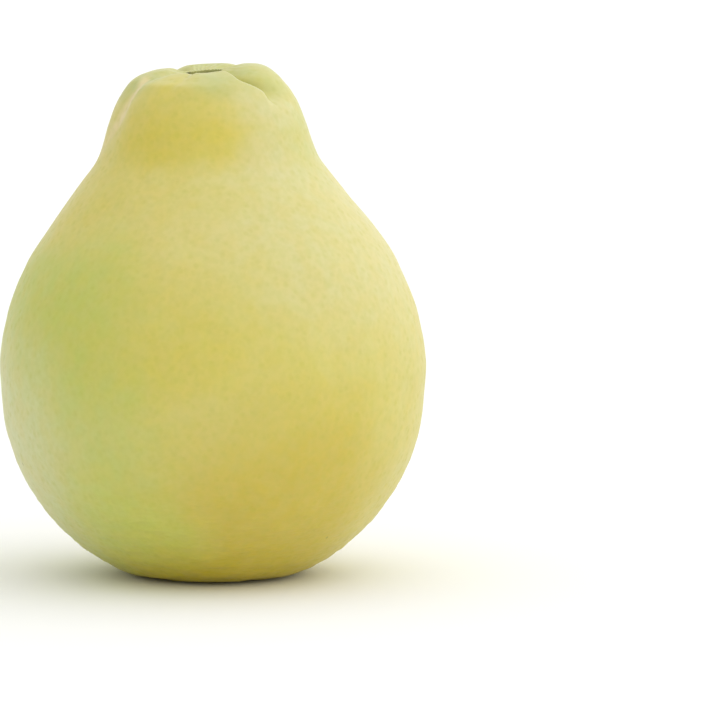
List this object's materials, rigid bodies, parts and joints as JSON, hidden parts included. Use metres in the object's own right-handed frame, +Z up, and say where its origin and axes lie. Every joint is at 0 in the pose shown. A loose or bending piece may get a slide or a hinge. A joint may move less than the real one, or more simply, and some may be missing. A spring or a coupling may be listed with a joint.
{
  "type": "jamaican tangelo",
  "caption": "Whole pear-shaped citrus fruit with a lobed crown, a short neck and a round belly, its dry stem button in a small hollow on top, standing on a small flat spot.",
  "frame": {"origin": "middle of the flat spot at the blossom end, on the surface that the fruit stands on", "axes": "+Z up towards the stem end, -Y towards the front that the picture shows, +X to the right of that front"},
  "size_m": [0.1204, 0.1196, 0.1447],
  "materials": {
    "rind": "satin rind with fine pores, yellow with a green blush on its left",
    "dry_calyx": "matt, dry and wrinkled"
  },
  "bodies": {
    "root": {"fruit": "rind", "calyx": "dry_calyx"}
  },
  "joints": []
}
